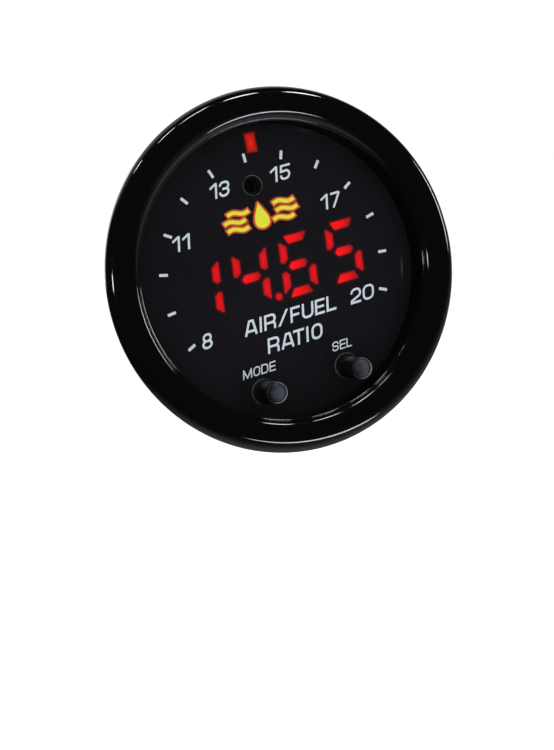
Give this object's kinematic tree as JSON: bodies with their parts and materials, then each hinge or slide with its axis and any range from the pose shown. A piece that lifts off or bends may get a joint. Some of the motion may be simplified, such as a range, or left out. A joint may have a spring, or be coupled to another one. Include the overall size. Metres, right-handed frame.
{
  "type": "air fuel ratio gauge",
  "caption": "Slim round dash gauge with a gloss black bezel, dark dial, red digital reading, sweep lights and two push buttons, on a shallow cup with rear sockets.",
  "frame": {"origin": "on the gauge axis in the seat plane, where the rear gasket meets the panel", "axes": "+Y back along the cup into the panel, -Y out of the dial, +Z to 12 o'clock"},
  "size_m": [0.0598, 0.0233, 0.0598],
  "materials": {
    "housing": "fine spark-eroded texture",
    "gasket": "closed-cell foam",
    "bezel": "piano black gloss",
    "dial": "satin gloss hard coat",
    "lens": "smoked acrylic",
    "diffuser": "frosted film",
    "mask": "matt moulded",
    "circuit_board": "green solder mask",
    "led": "clear cap on a white base",
    "sensor": "dark red filter resin",
    "button": "gloss black",
    "switch_case": "moulded nylon",
    "plunger": "natural nylon",
    "board_connector": "natural moulded",
    "steel": "bright rolled",
    "brass": "plated",
    "chip": "moulded epoxy",
    "ferrite": "pressed ferrite",
    "capacitor": "satin can",
    "connector_black": "moulded nylon",
    "connector_grey": "moulded nylon"
  },
  "bodies": {
    "gauge_body": {"rear_housing": "housing", "seat_gasket": "gasket", "bezel_ring": "bezel", "face_overlay": "dial", "face_lens": "lens", "lens_gasket": "gasket", "diffuser_film": "diffuser", "light_mask": "mask", "display_board": "circuit_board", "digit_leds": "led", "sweep_leds": "led", "light_sensor": "sensor", "mode_switch_case": "switch_case", "mode_switch_cover": "steel", "mode_switch_dome": "steel", "select_switch_case": "switch_case", "select_switch_cover": "steel", "select_switch_dome": "steel", "board_receptacle": "board_connector", "board_plug": "board_connector", "board_spacers": "brass", "board_screws": "steel", "main_board": "circuit_board", "processor_chip": "chip", "sensor_driver_chip": "chip", "regulator_chip": "chip", "power_inductor": "ferrite", "filter_capacitors": "capacitor", "chip_resistors": "chip", "power_connector": "connector_black", "power_pins": "brass", "sensor_connector": "connector_grey", "sensor_pins": "brass"},
    "mode_key": {"mode_button": "button", "mode_switch_plunger": "plunger"},
    "select_key": {"select_button": "button", "select_switch_plunger": "plunger"}
  },
  "joints": [
    {"name": "mode_press", "type": "slide", "parent": "gauge_body", "child": "mode_key", "axis": [0, 1, 0], "range_m": [0, 0.0003], "stiffness_N_per_m": 900, "springref_m": -0.001, "deforming": ["mode_switch_dome"]},
    {"name": "select_press", "type": "slide", "parent": "gauge_body", "child": "select_key", "axis": [0, 1, 0], "range_m": [0, 0.0003], "stiffness_N_per_m": 900, "springref_m": -0.001, "deforming": ["select_switch_dome"]}
  ]
}
